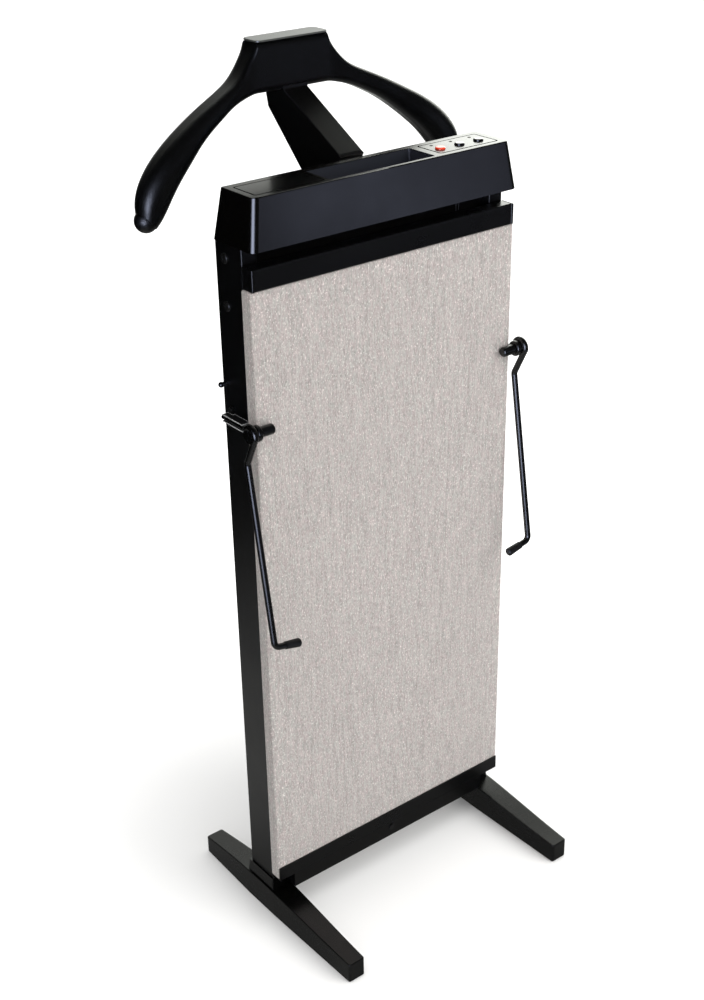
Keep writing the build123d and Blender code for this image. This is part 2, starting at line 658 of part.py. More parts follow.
def cable_gland():
    gland = rod_y(62.0, REAR_Y, GLAND_X, GLAND_Z, 6.0)
    gland += rod_y(REAR_Y, 76.0, GLAND_X, GLAND_Z, 7.5)
    return gland - rod_y(50, 80, GLAND_X, GLAND_Z, 3.3)


def cable_hook(z):
    hook = block(HOOK_X - 10, HOOK_X + 10, REAR_Y, 70.0, z - 14, z + 14)
    hook += rod_y(69.9, 96.0, HOOK_X, z, 6.0)
    return hook + block(HOOK_X - 4, HOOK_X + 4, 92.0, 96.0, z - 16, z + 16)


def cable_loop(y):
    plane = Plane(origin=(HOOK_X, y, sum(HOOK_ZS) / 2), x_dir=(0, 0, 1), z_dir=(0, 1, 0))
    slot = plane * SlotCenterToCenter(HOOK_ZS[0] - HOOK_ZS[1], 2 * COIL_R)
    return wire_rod(slot.face().outer_wire(), CABLE_R)


def mains_cable():
    cable = cable_loop(LOOP_YS[0])
    for y in LOOP_YS[1:]:
        cable += cable_loop(y)
    cable += wire_rod(FilletPolyline(*LEAD_PATH, radius=8), CABLE_R)
    # small blocks join neighbouring loops into one solid
    for loop_y in LOOP_YS[:-1]:
        y = loop_y + LOOP_PITCH / 2
        cable += block(LEAD_X - 1.2, LEAD_X + 1.2, y - 2.6, y + 2.6, 400, 408)
    return cable + wire_rod(FilletPolyline(*TAIL_PATH, radius=12), CABLE_R)


def mains_plug(cable):
    plug = loft([Pos(PLUG_X, CABLE_Y, 248) * RectangleRounded(15, 12, 5),
                 Pos(PLUG_X, CABLE_Y, 236) * RectangleRounded(34, 16, 6),
                 Pos(PLUG_X, CABLE_Y, 218) * RectangleRounded(36, 17, 6)])
    plug += rod_z(247.9, 268, PLUG_X, CABLE_Y, 5.2)
    plug -= rod_z(262, 270, PLUG_X, CABLE_Y, CABLE_R)
    plug = plug - cable
    return max(plug.solids(), key=lambda solid: solid.volume)


def plug_pin(x):
    return round_end(rod_z(199.0, 217.99, x, CABLE_Y, 2.4), Axis.Z, 1.2, index=0)


whole_cable = mains_cable()
save("cable_gland", cable_gland())
save("cable_hooks", *[cable_hook(z) for z in HOOK_ZS])
save("mains_cable", whole_cable)
save("mains_plug", mains_plug(whole_cable))
save("plug_pins", *[plug_pin(PLUG_X + offset) for offset in (-9.5, 9.5)])
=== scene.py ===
"""An upright heated press: two fabric pads on boards, side posts, feet and a hanger on top.

The script finishes the parts and wraps the two pads in cloth, then adds floor, lights and camera.
Metres, +Z up, standing on z = 0. The front faces -Y and the width runs along X.
"""

import math
from functools import reduce

import bpy
import numpy as np
from mathutils import Matrix, Vector


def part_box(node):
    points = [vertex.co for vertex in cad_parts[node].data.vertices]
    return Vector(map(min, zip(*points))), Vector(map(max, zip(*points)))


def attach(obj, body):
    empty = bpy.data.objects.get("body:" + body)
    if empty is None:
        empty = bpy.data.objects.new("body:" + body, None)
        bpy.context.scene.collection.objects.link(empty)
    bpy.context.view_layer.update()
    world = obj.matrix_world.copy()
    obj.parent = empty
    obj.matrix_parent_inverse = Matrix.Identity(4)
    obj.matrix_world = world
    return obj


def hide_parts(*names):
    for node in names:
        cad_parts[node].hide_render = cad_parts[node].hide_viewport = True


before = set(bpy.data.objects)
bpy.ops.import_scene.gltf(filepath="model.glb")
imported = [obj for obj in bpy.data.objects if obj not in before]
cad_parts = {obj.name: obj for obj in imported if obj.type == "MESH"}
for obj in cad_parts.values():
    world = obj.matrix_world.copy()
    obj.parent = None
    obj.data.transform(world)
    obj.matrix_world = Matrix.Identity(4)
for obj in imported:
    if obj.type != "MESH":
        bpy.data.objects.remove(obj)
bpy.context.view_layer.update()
scene = bpy.context.scene


# ---------------------------------------------------------------- node helpers
class Net:
    """Builds the shader nodes of a material or a world."""

    def __init__(self, owner):
        owner.use_nodes = True
        self.tree = owner.node_tree
        self.tree.nodes.clear()

    def node(self, kind, inputs=None, **settings):
        """A node with its settings, and its inputs by name or index."""
        made = self.tree.nodes.new(kind)
        for key, value in settings.items():
            setattr(made, key, value)
        self.put(made, inputs or {})
        return made

    def put(self, node, inputs):
        """Link each input that is given a socket, and set the others to their value."""
        for key, value in inputs.items():
            if isinstance(value, bpy.types.NodeSocket):
                self.tree.links.new(value, node.inputs[key])
            else:
                node.inputs[key].default_value = value

    def coords(self, scale=(1, 1, 1), offset=(0, 0, 0)):
        """Object coordinates, scaled and shifted."""
        source = self.node("ShaderNodeTexCoord").outputs["Object"]
        inputs = {"Vector": source, "Scale": scale, "Location": offset}
        return self.node("ShaderNodeMapping", inputs).outputs["Vector"]

    def noise(self, vector, scale=1.0, detail=2.0, rough=0.5):
        inputs = {"Vector": vector, "Scale": scale, "Detail": detail, "Roughness": rough}
        return self.node("ShaderNodeTexNoise", inputs).outputs["Fac"]

    def voronoi(self, vector, scale, feature="F1"):
        return self.node("ShaderNodeTexVoronoi", {"Vector": vector, "Scale": scale},
                         feature=feature)

    def wave(self, vector, direction, scale, distortion, extra=None):
        inputs = {"Vector": vector, "Scale": scale, "Distortion": distortion, **(extra or {})}
        return self.node("ShaderNodeTexWave", inputs, bands_direction=direction)

    def ramp(self, value, span, to=(0.0, 1.0)):
        """A smooth step from to[0] to to[1] while the value crosses the span."""
        inputs = {"Value": value, "From Min": span[0], "From Max": span[1],
                  "To Min": to[0], "To Max": to[1]}
        return self.node("ShaderNodeMapRange", inputs,
                         interpolation_type="SMOOTHSTEP").outputs["Result"]

    def calc(self, operation, a, b=0.0):
        return self.node("ShaderNodeMath", {0: a, 1: b}, operation=operation).outputs["Value"]

    def add(self, *terms):
        return reduce(lambda a, b: self.calc("ADD", a, b), terms)

    def mul(self, *terms):
        return reduce(lambda a, b: self.calc("MULTIPLY", a, b), terms)

    def swing(self, value, centre, gain):
        """The value's distance from a centre, times a gain."""
        return self.mul(self.calc("SUBTRACT", value, centre), gain)

    def vector(self, operation, *operands):
        return self.node("ShaderNodeVectorMath", dict(enumerate(operands)), operation=operation)

    def split(self, vector):
        return self.node("ShaderNodeSeparateXYZ", {"Vector": vector}).outputs

    def mix(self, factor, a, b, blend="MIX"):
        return self.node("ShaderNodeMix", {0: factor, 6: a, 7: b},
                         data_type="RGBA", blend_type=blend).outputs[2]

    def mix_shader(self, factor, a, b):
        inputs = {0: factor, 1: a.outputs[0], 2: b.outputs[0]}
        return self.node("ShaderNodeMixShader", inputs)

    def bump(self, height, distance, strength=1.0, normal=None):
        inputs = {"Height": height, "Distance": distance, "Strength": strength}
        if normal is not None:
            inputs["Normal"] = normal
        return self.node("ShaderNodeBump", inputs).outputs["Normal"]

    def edge(self, radius, span=(0.02, 0.35)):
        """1 on an outward or inward edge, 0 on a flat face."""
        bevel = self.node("ShaderNodeBevel", {"Radius": radius}, samples=4)
        geometry = self.node("ShaderNodeNewGeometry")
        turn = self.vector("DISTANCE", bevel.outputs["Normal"], geometry.outputs["Normal"])
        return self.ramp(turn.outputs["Value"], span)


MATS = {}


class Surface(Net):
    """The nodes of a new material, ending in one Principled shader."""

    def __init__(self, name):
        MATS[name] = bpy.data.materials.new(name)
        super().__init__(MATS[name])
        self.bsdf = self.node("ShaderNodeBsdfPrincipled")
        self.node("ShaderNodeOutputMaterial", {"Surface": self.bsdf.outputs["BSDF"]})

    def shade(self, inputs):
        self.put(self.bsdf, inputs)


def scaled(colour, factor):
    """A colour times a factor, no brighter than 1, with full alpha."""
    return tuple(min(1.0, channel * factor) for channel in colour[:3]) + (1.0,)


def srgb(*channels):
    """A linear colour from 0-255 sRGB channels, none of them near black."""
    return tuple(((c / 255.0 + 0.055) / 1.055) ** 2.4 for c in channels) + (1.0,)


# ---------------------------------------------------------------- moulded and painted black parts
WHITE = (1, 1, 1)

# the tray in the top cover: x range, y range, height of its rim
COVER_TRAY = ((-0.0765, 0.0715), (-0.0247, 0.0213), 0.9638)

# let-in plates: centre, half size, corner radius, width of the shadow line
BLANK_INSET = ((-0.12625, -0.0008), (0.04495, 0.0202), 0.0028, 0.0008)
FASCIA_INSET = ((0.126, -0.0003), (0.0437, 0.0207), 0.0038, 0.0010)

# name, base grey, roughness, roughness drift, grain scale, grain depth, edge wear, tint, extras
PLASTICS = [
    ("black_moulding", 0.0014, 0.30, 0.03, 1700, 0.000018, 0.30, (1.05, 1, 0.95), {}),
    ("foot_moulding", 0.0012, 0.22, 0.03, 1500, 0.000014, 0.35, (1.0, 1.04, 0.92), {}),
    ("cover_moulding", 0.0013, 0.17, 0.02, 1700, 0.000008, 0.30, (1.1, 1, 0.9),
     {"tray": COVER_TRAY}),
    ("plate_moulding", 0.0010, 0.15, 0.02, 1900, 0.000005, 0.6, (1, 1, 1.05),
     {"inset": BLANK_INSET}),
    ("black_powder_coat", 0.0016, 0.30, 0.05, 1100, 0.000025, 0.5, (1.03, 1.0, 0.97), {}),
    ("black_extrusion", 0.0018, 0.28, 0.05, 1500, 0.00001, 0.5, (1, 1, 1.06), {}),
    ("black_rubber", 0.004, 0.50, 0.05, 800, 0.00004, 0.3, WHITE, {"dust": 0.15}),
    ("black_screw", 0.006, 0.28, 0.05, 700, 0.00001, 0.9, WHITE, {}),
    ("black_gloss", 0.0020, 0.12, 0.05, 300, 0.000004, 0.4, WHITE, {"coat": 0.5}),
    ("black_coated_rod", 0.0016, 0.24, 0.05, 420, 0.000015, 0.4, WHITE, {"coat": 0.1}),
    ("hanger_grain", 0.0014, 0.30, 0.05, 1800, 0.00001, 0.15, (1, 1, 1.08),
     {"pebble_depth": 0.00016, "pebble_scale": 820, "specular": 0.42}),
    ("hanger_cap_grey", 0.055, 0.24, 0.05, 1600, 0.000012, 0.4, (0.97, 1.02, 0.98), {}),
    ("fascia_film", 0.010, 0.16, 0.05, 1900, 0.000006, 0.3, (1.0, 1.02, 0.97),
     {"inset": FASCIA_INSET}),
]
CABLE_PLASTICS = [
    ("cable_rubber", 0.010, 0.48, 0.05, 900, 0.00003, 0.2, WHITE, {}),
    ("plug_black", 0.008, 0.30, 0.05, 1200, 0.00002, 0.5, WHITE, {}),
]


def add_tray(net, point, colour, rough, tray):
    """Inside the open tray the moulding is rougher, with a paler bluish colour painted in as
    reflection.
    """
    x_range, y_range, rim = tray
    place = net.split(point)
    inside = net.ramp(place["Z"], span=(rim - 0.0012, rim - 0.0002), to=(1.0, 0.0))
    for axis, (lo, hi) in (("X", x_range), ("Y", y_range)):
        inside = net.mul(inside, net.ramp(place[axis], span=(lo - 0.0004, lo + 0.0002)))
        past = net.ramp(place[axis], span=(hi - 0.0002, hi + 0.0004), to=(1.0, 0.0))
        inside = net.mul(inside, past)
    # painted reflection: the pale bluish grey stands in for the light that the tray's walls reflect
    tray_painted_reflection = (0.020, 0.022, 0.029, 1)
    extra_rough = 0.2
    net.shade({"Base Color": net.mix(inside, colour, tray_painted_reflection),
               "Roughness": net.add(rough, net.mul(inside, extra_rough))})


def add_inset_line(net, point, colour, rough, specular, inset):
    """A dark shadow line just inside the rounded border of a let-in plate."""
    centre, half, radius, width = inset
    place = net.split(point)
    # distance to the rounded rectangle, measured from its corner centres
    over = []
    for axis, middle, reach in zip("XY", centre, half):
        offset = net.calc("ABSOLUTE", net.calc("SUBTRACT", place[axis], middle))
        over.append(net.calc("SUBTRACT", offset, reach - radius))
    out_x, out_y = (net.calc("MAXIMUM", value, 0.0) for value in over)
    distance = net.calc("SQRT", net.add(net.mul(out_x, out_x), net.mul(out_y, out_y)))
    distance = net.add(distance, net.calc("MINIMUM", net.calc("MAXIMUM", *over), 0.0))
    fade = 0.0003
    line_grey = scaled(WHITE, 0.0006)
    extra_rough = 0.5
    line = net.ramp(distance, span=(radius - width - fade, radius - width))
    net.shade({"Base Color": net.mix(line, colour, line_grey),
               "Specular IOR Level": net.ramp(line, span=(0.0, 1.0), to=(specular, 0.0)),
               "Roughness": net.add(rough, net.mul(line, extra_rough))})


def plastic(name, base, rough, drift, grain, depth, wear, tint, extras):
    """Fine texture, slow roughness drift and faint rubbed edges."""
    net = Surface(name)
    point = net.coords()
    patches = net.noise(point, scale=9.0, detail=3.0, rough=0.55)
    fine = net.noise(point, scale=grain, detail=2.0, rough=0.6)
    body = net.mix(patches, scaled(tint, base * 0.8), scaled(tint, base * 1.25))
    uneven = net.ramp(net.noise(point, scale=60.0, detail=4.0, rough=0.65),
                      span=(0.42, 0.72), to=(0.15, 1.0))
    rubbed = net.mul(net.edge(radius=0.0006), uneven, wear)
    rubbed_grey = min(0.06, base * 5 + 0.012)
    colour = net.mix(rubbed, body, scaled(tint, rubbed_grey))
    if "dust" in extras:
        specks = net.ramp(net.noise(point, scale=420.0, rough=0.7), span=(0.70, 0.80))
        dust_colour = scaled((1, 0.98, 0.94), 0.12)
        colour = net.mix(net.mul(specks, extras["dust"]), colour, dust_colour)
    fine_rough, rubbed_rough = 0.05, -0.06  # what grain and rubbing add to the roughness
    rough = net.add(net.ramp(patches, span=(0.3, 0.7), to=(rough - drift, rough + drift)),
                    net.mul(fine, fine_rough), net.mul(rubbed, rubbed_rough))
    normal = net.bump(fine, distance=depth, strength=0.8)
    if "pebble_depth" in extras:
        scale = extras["pebble_scale"]
        cells = net.voronoi(net.coords(), scale=scale, feature="SMOOTH_F1").outputs["Distance"]
        lumps = net.noise(point, scale=scale * 0.55, detail=3.0, rough=0.6)
        cell_share, lump_share = 0.9, 0.8
        height = net.add(net.mul(cells, cell_share), net.mul(lumps, lump_share))
        normal = net.bump(height, distance=extras["pebble_depth"], normal=normal)
    specular = extras.get("specular", 0.5)
    net.shade({"Base Color": colour, "Roughness": rough, "Normal": normal,
               "Specular IOR Level": specular})
    if "tray" in extras:
        add_tray(net, point, colour, rough, extras["tray"])
    if "inset" in extras:
        add_inset_line(net, point, colour, rough, specular, extras["inset"])
    if "coat" in extras:
        net.shade({"Coat Weight": extras["coat"], "Coat Roughness": 0.12})


# ---------------------------------------------------------------- other finishes
def metal(name, colour, rough, dark):
    """Bare metal with darker patches and brighter edges."""
    net = Surface(name)
    fine = net.noise(net.coords(), scale=900.0, detail=3.0, rough=0.6)
    patches = net.noise(net.coords(), scale=130.0, detail=3.0, rough=0.6)
    patched = net.mix(net.ramp(patches, span=(0.35, 0.7)), colour, scaled(colour, dark))
    edge_share, edge_gain = 0.5, 1.4
    edges = net.mul(net.edge(radius=0.0005), edge_share)
    net.shade({
        "Base Color": net.mix(edges, patched, scaled(colour, edge_gain)),
        "Metallic": 1.0,
        "Roughness": net.ramp(fine, span=(0.25, 0.75), to=(rough - 0.07, rough + 0.09)),
        "Normal": net.bump(fine, distance=0.000012, strength=0.8),
    })


def grey_fabric():
    """A plain weave in two fine greys, with uneven vertical slub threads and pale flecks."""
    net = Surface("grey_fabric")
    # slub threads run along z: fine ones, then broader soft bands
    thin = net.noise(net.coords(scale=(760, 760, 270)), rough=0.6)
    mid = net.noise(net.coords(scale=(520, 520, 34), offset=(3, 7, 1)))
    band = net.noise(net.coords(scale=(95, 95, 9), offset=(11, 2, 5)))
    fleck = net.noise(net.coords(scale=(600, 600, 400), offset=(5, 1, 9)), detail=1.0)
    hue = net.noise(net.coords(scale=(330, 330, 90), offset=(1, 4, 2)), rough=0.6)

    # the weave: threads across the front and the sides, crossed by the weft up z
    ragged = {"Detail": 1.0, "Detail Scale": 0.4}
    warp = net.wave(net.coords(), "X", scale=255.0, distortion=1.2, extra=ragged)
    side = net.wave(net.coords(), "Y", scale=255.0, distortion=1.2)
    weft = net.wave(net.coords(), "Z", scale=290.0, distortion=1.0, extra=ragged).outputs["Fac"]
    facing = net.split(net.node("ShaderNodeNewGeometry").outputs["Normal"])
    on_side = net.ramp(net.calc("ABSOLUTE", facing["X"]), span=(0.5, 0.8))
    across = net.mix(on_side, warp.outputs["Color"], side.outputs["Color"])
    across = net.node("ShaderNodeSeparateColor", {"Color": across}).outputs[0]
    weave = net.mul(across, weft)
    checks = net.calc("ABSOLUTE", net.calc("SUBTRACT", across, weft))

    brightness = net.add(
        net.swing(thin, centre=0.5, gain=1.08),
        net.swing(mid, centre=0.5, gain=0.50),
        net.swing(band, centre=0.5, gain=0.16),
        net.swing(checks, centre=0.4, gain=0.07),
        net.ramp(fleck, span=(0.60, 0.70), to=(0.0, 0.66)),
        1.0)
    pink = (0.384, 0.339, 0.331, 1.0)
    green = (0.357, 0.348, 0.331, 1.0)
    base = net.mix(net.ramp(hue, span=(0.32, 0.68)), pink, green)
    factor = net.node("ShaderNodeCombineXYZ", {axis: brightness for axis in range(3)})
    # share of each pattern in the height of the cloth
    weave_height, thin_height, mid_height = 0.5, 1.3, 0.9
    height = net.add(net.mul(weave, weave_height), net.mul(thin, thin_height),
                     net.mul(mid, mid_height))
    net.shade({
        "Base Color": net.mix(1.0, base, factor.outputs["Vector"], blend="MULTIPLY"),
        "Roughness": net.ramp(thin, span=(0.2, 0.8), to=(0.82, 0.95)),
        "Specular IOR Level": 0.18,
        "Sheen Weight": 0.10,
        "Sheen Roughness": 0.5,
        "Normal": net.bump(height, distance=0.00022, strength=0.55),
    })


def red_button():
    net = Surface("red_button")
    point = net.coords()
    patches = net.noise(point, scale=260.0, detail=3.0)
    net.shade({
        "Base Color": net.mix(patches, srgb(222, 58, 34), srgb(238, 84, 52)),
        "Roughness": net.ramp(patches, span=(0.2, 0.8), to=(0.18, 0.28)),
        "Normal": net.bump(net.noise(point, scale=900.0), distance=0.00001, strength=0.5),
        "Coat Weight": 0.4,
    })


def lamp_lens():
    net = Surface("lamp_lens")
    fine = net.noise(net.coords(), scale=500.0)
    net.shade({
        "Base Color": net.mix(fine, (0.010, 0.010, 0.010, 1), (0.028, 0.016, 0.012, 1)),
        "Roughness": 0.35,
        "Specular IOR Level": 0.15,
        "Normal": net.bump(fine, distance=0.00001, strength=0.3),
    })


def guide_steel():
    """Pressed and blackened, with a pale painted highlight along its edges."""
    net = Surface("guide_steel")
    fine = net.noise(net.coords(scale=(1, 0.06, 1)), scale=1400.0, detail=3.0, rough=0.6)
    uneven = net.ramp(net.noise(net.coords(), scale=240.0), span=(0.3, 0.6), to=(0.6, 1.0))
    # painted highlight: the channel's edges get a pale grey in place of the light they catch, patchy
    # along their length
    painted_edge_highlight = net.mul(net.edge(radius=0.0011, span=(0.03, 0.25)), uneven)
    # the painted edge highlight is cut off above the channel, so the fixing tab's edges stay black
    height = net.split(net.coords())["Z"]
    painted_edge_highlight = net.mul(painted_edge_highlight, net.ramp(height, span=(0.7092, 0.7096), to=(1.0, 0.0)))
    black = net.mix(fine, (0.003, 0.003, 0.003, 1), (0.008, 0.008, 0.008, 1))
    net.shade({
        "Base Color": net.mix(painted_edge_highlight, black, (0.74, 0.75, 0.76, 1)),
        "Specular IOR Level": 0.2,
        "Roughness": net.ramp(fine, span=(0.25, 0.75), to=(0.26, 0.40)),
        "Normal": net.bump(fine, distance=0.000012, strength=0.8),
    })


def chipboard():
    net = Surface("chipboard")
    chips = net.voronoi(net.coords(scale=(1, 1, 1.6)), scale=420.0).outputs["Color"]
    fibre = net.noise(net.coords(), scale=260.0, detail=4.0, rough=0.65)
    wood = net.mix(fibre, (0.44, 0.30, 0.17, 1), (0.60, 0.46, 0.29, 1))
    chip_share = 0.35
    net.shade({
        "Base Color": net.mix(chip_share, wood, net.mix(1.0, wood, chips, blend="MULTIPLY")),
        "Roughness": 0.85,
        "Normal": net.bump(fibre, distance=0.0002, strength=0.7),
    })


def heating_mat():
    net = Surface("heating_mat")
    point = net.coords()
    bands = net.wave(point, "X", scale=60.0, distortion=0.6).outputs["Fac"]
    lines = net.ramp(bands, span=(0.85, 0.95))
    net.shade({
        "Base Color": net.mix(lines, (0.62, 0.60, 0.55, 1), (0.35, 0.33, 0.30, 1)),
        "Roughness": net.ramp(net.noise(point, scale=300.0), span=(0.3, 0.7), to=(0.35, 0.55)),
        "Metallic": 0.6,
        "Normal": net.bump(bands, distance=0.0001, strength=0.6),
    })


def lead_wire():
    net = Surface("lead_wire")
    point = net.coords()
    patches = net.noise(point, scale=120.0, detail=3.0)
    net.shade({
        "Base Color": net.mix(patches, (0.55, 0.53, 0.48, 1), (0.68, 0.66, 0.60, 1)),
        "Roughness": 0.5,
        "Normal": net.bump(net.noise(point, scale=700.0), distance=0.00003, strength=0.5),
    })


def circuit_board():
    net = Surface("circuit_board")
    point = net.coords()
    bricks = {"Vector": point, "Scale": 180.0, "Mortar Size": 0.04}
    traces = net.node("ShaderNodeTexBrick", bricks).outputs["Fac"]
    net.shade({
        "Base Color": net.mix(traces, (0.015, 0.11, 0.045, 1), (0.05, 0.22, 0.09, 1)),
        "Roughness": net.ramp(net.noise(point, scale=80.0), span=(0.3, 0.7), to=(0.3, 0.45)),
        "Normal": net.bump(traces, distance=0.00005, strength=0.4),
    })


def make_materials():
    for row in PLASTICS:
        plastic(*row)
    grey_fabric()
    red_button()
    lamp_lens()
    metal("zinc_steel", colour=(0.62, 0.61, 0.58, 1), rough=0.34, dark=0.7)
    guide_steel()
    chipboard()
    heating_mat()
    lead_wire()
    circuit_board()
    for row in CABLE_PLASTICS:
        plastic(*row)
    metal("pin_brass", colour=(0.72, 0.56, 0.30, 1), rough=0.25, dark=0.75)


# ---------------------------------------------------------------- which parts take which finish
PARTS = {
    "black_moulding": "bar_end_caps hanger_neck",
    "foot_moulding": "foot_left foot_right",
    "cover_moulding": "top_cover",
    "plate_moulding": "blank_plate",
    "black_powder_coat": "lower_crossbar rear_cover side_post_left side_post_right "
                         "upper_crossmember",
    "black_extrusion": "panel_lip panel_top_bar",
    "black_rubber": "foot_glides lever_grip_left lever_grip_right",
    "black_screw": "crossbar_screw guide_screws neck_bolts post_screws rear_screws",
    "black_gloss": "board_switches side_pegs timer_button_long timer_button_short",
    "black_coated_rod": "bar_sleeve_left bar_sleeve_right lever_rod_left lever_rod_right "
                        "stay_rod_left stay_rod_right",
    "hanger_grain": "hanger_body",
    "hanger_cap_grey": "hanger_cap",
    "fascia_film": "control_fascia",
    "grey_fabric": "fixed_pad panel_pad",
    "red_button": "power_button",
    "lamp_lens": "indicator_lamps",
    "zinc_steel": "board_cleats cover_screws foot_bolts hinge_ears hinge_leaves hinge_pins "
                  "leaf_screws transformer",
    "guide_steel": "stay_guide_left stay_guide_right",
    "chipboard": "panel_board pressing_board",
    "heating_mat": "heating_mat",
    "lead_wire": "lamp_stems",
    "circuit_board": "control_board",
    "cable_rubber": "heater_leads mains_cable",
    "plug_black": "cable_gland cable_hooks mains_plug",
    "pin_brass": "plug_pins",
}


def finish_parts():
    finish = {part: name for name, parts in PARTS.items() for part in parts.split()}
    for part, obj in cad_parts.items():
        obj.data.materials.clear()
        obj.data.materials.append(MATS[finish.get(part, "black_moulding")])


# ---------------------------------------------------------------- padded fabric covers (in mm)
PAD_RADIUS = 2.1
FACE_STEP = 5.0   # grid spacing over the front and back
DEPTH_STEP = 3.0  # grid spacing through the thickness
CLOTH = 0.8       # thickness of the cloth
WAVE_HEIGHT = 0.14
CROWN_MARGIN_X = 30.0  # the crown dies away over these distances from the edges
CROWN_MARGIN_Z = 40.0


def grid_spans(lo, hi, step):
    """Neighbouring grid lines in pairs: close together over the rounded ends, step apart between."""
    ends = [0, 0.3, 0.62, 1.0]
    flat = hi - lo - 2 * PAD_RADIUS
    count = max(2, int(round(flat / step)))
    places = [lo + PAD_RADIUS * end for end in ends]
    places += [lo + PAD_RADIUS + flat * i / count for i in range(1, count)]
    places += [hi - PAD_RADIUS * end for end in reversed(ends)]
    return list(zip(places, places[1:]))


def wrapped_sheet(lo, hi, hem):
    """A sheet folded round a board: front, four rounded sides and a turned hem on the back."""
    x_lo, y_lo, z_lo = lo
    x_hi, y_hi, z_hi = hi
    x_spans = grid_spans(x_lo, x_hi, FACE_STEP)
    y_spans = grid_spans(y_lo, y_hi, DEPTH_STEP)
    z_spans = grid_spans(z_lo, z_hi, FACE_STEP)
    index, verts, faces = {}, [], []

    def vertex(corner):
        """The index of a box point, once moved onto the rounding."""
        key = tuple(round(value, 4) for value in corner)
        if key not in index:
            index[key] = len(verts)
            point = np.array(corner, float)
            core = np.clip(point, lo + PAD_RADIUS, hi - PAD_RADIUS)
            away = point - core
            verts.append(core + away / np.linalg.norm(away) * PAD_RADIUS)
        return index[key]

    def quad(*corners):
        ids = [vertex(corner) for corner in corners]
        # on a thin board grid lines can coincide and close a face up
        if len(set(ids)) == 4:
            faces.append(ids)

    for x0, x1 in x_spans:
        for z0, z1 in z_spans:
            quad((x0, y_lo, z0), (x1, y_lo, z0), (x1, y_lo, z1), (x0, y_lo, z1))
            x, z = (x0 + x1) / 2, (z0 + z1) / 2
            is_open = x_lo + hem < x < x_hi - hem and z_lo + hem < z < z_hi - hem
            if not is_open:
                quad((x0, y_hi, z0), (x0, y_hi, z1), (x1, y_hi, z1), (x1, y_hi, z0))
    for y0, y1 in y_spans:
        for z0, z1 in z_spans:
            quad((x_lo, y0, z0), (x_lo, y0, z1), (x_lo, y1, z1), (x_lo, y1, z0))
            quad((x_hi, y0, z0), (x_hi, y1, z0), (x_hi, y1, z1), (x_hi, y0, z1))
        for x0, x1 in x_spans:
            quad((x0, y0, z_lo), (x0, y1, z_lo), (x1, y1, z_lo), (x1, y0, z_lo))
            quad((x0, y0, z_hi), (x1, y0, z_hi), (x1, y1, z_hi), (x0, y1, z_hi))
    return np.array(verts), faces


def swell(verts, lo, hi, crown):
    """Raise a low crown on the front, with the slow unevenness of stretched cloth."""
    def fade(share, length, margin):
        t = np.clip(np.minimum(share, 1 - share) * length / margin, 0, 1)
        return t * t * (3 - 2 * t)

    width, _, height = hi - lo
    u = (verts[:, 0] - lo[0]) / width
    w = (verts[:, 2] - lo[2]) / height
    front = np.clip(1 - (verts[:, 1] - lo[1]) / (PAD_RADIUS + 0.01), 0, 1)
    wave = (0.5 * np.sin(u * 7.1 + 1.3 * np.sin(w * 5.0))
            + 0.35 * np.sin(w * 17.0 + 2.0 * np.sin(u * 3.3))
            + 0.2 * np.sin(u * 23.0 + w * 9.0))
    edges = fade(u, width, CROWN_MARGIN_X) * fade(w, height, CROWN_MARGIN_Z)
    verts[:, 1] -= front * edges * (crown + WAVE_HEIGHT * wave)


def soft_pad(name, part, body, crown, hem):
    """A cloth cover in place of a pad, riding on a body."""
    lo, hi = (np.array(corner) * 1000 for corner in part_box(part))
    verts, faces = wrapped_sheet(lo, hi, hem)
    swell(verts, lo, hi, crown)
    mesh = bpy.data.meshes.new(name)
    mesh.from_pydata((verts * 0.001).tolist(), [], faces)
    mesh.validate()
    mesh.update()
    mesh.polygons.foreach_set("use_smooth", [True] * len(mesh.polygons))
    mesh.materials.append(MATS["grey_fabric"])
    obj = bpy.data.objects.new(name, mesh)
    scene.collection.objects.link(obj)
    sheet = obj.modifiers.new("sheet", "SOLIDIFY")
    sheet.thickness = CLOTH * 0.001
    sheet.offset = -1.0
    sheet.use_even_offset = True
    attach(obj, body)
    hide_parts(part)


# ---------------------------------------------------------------- light, floor, camera
# soft round lights seen in reflections, angles in degrees:
# azimuth from +Y towards +X, elevation, full inside, gone past, colour, strength
LOBES = [
    (25, 45, 3, 13, (1.0, 1.03, 0.97), 2.3),           # above and behind
    (48, 37, 4, 14, (1.0, 1.03, 0.95), 1.2),           # its weaker neighbour
    (62, 14, 16, 27, (1.0, 1.02, 0.96), 3.5),          # bright background, back right
    (142.8, -5.0, 1.5, 7, (0.82, 0.89, 1.2), 1.5),     # small bluish panel, front right
    (135, 5, 20, 75, (0.85, 0.88, 1.0), 0.06),         # weak fill, front right
    (-128, 1, 8, 30, (0.80, 0.88, 1.15), 11.0),        # soft light, front left
    (36, -14, 10, 34, (1.0, 1.02, 0.97), 1.3),         # pale sweep, low behind
    (28, 13, 6, 45, (1.0, 1.02, 0.96), 0.62),          # background behind
]


def lobe(net, direction, azimuth, elevation, inner, outer, colour, strength):
    """The light that one row of LOBES gives in a direction."""
    a, e = math.radians(azimuth), math.radians(elevation)
    centre = (math.sin(a) * math.cos(e), math.cos(a) * math.cos(e), math.sin(e))
    cosine = net.vector("DOT_PRODUCT", direction, centre).outputs["Value"]
    angle = net.calc("ARCCOSINE", net.calc("MINIMUM", cosine, 1.0))
    glow = net.ramp(angle, span=(math.radians(inner), math.radians(outer)), to=(strength, 0.0))
    inputs = {0: colour, "Scale": glow}
    return net.node("ShaderNodeVectorMath", inputs, operation="SCALE").outputs["Vector"]


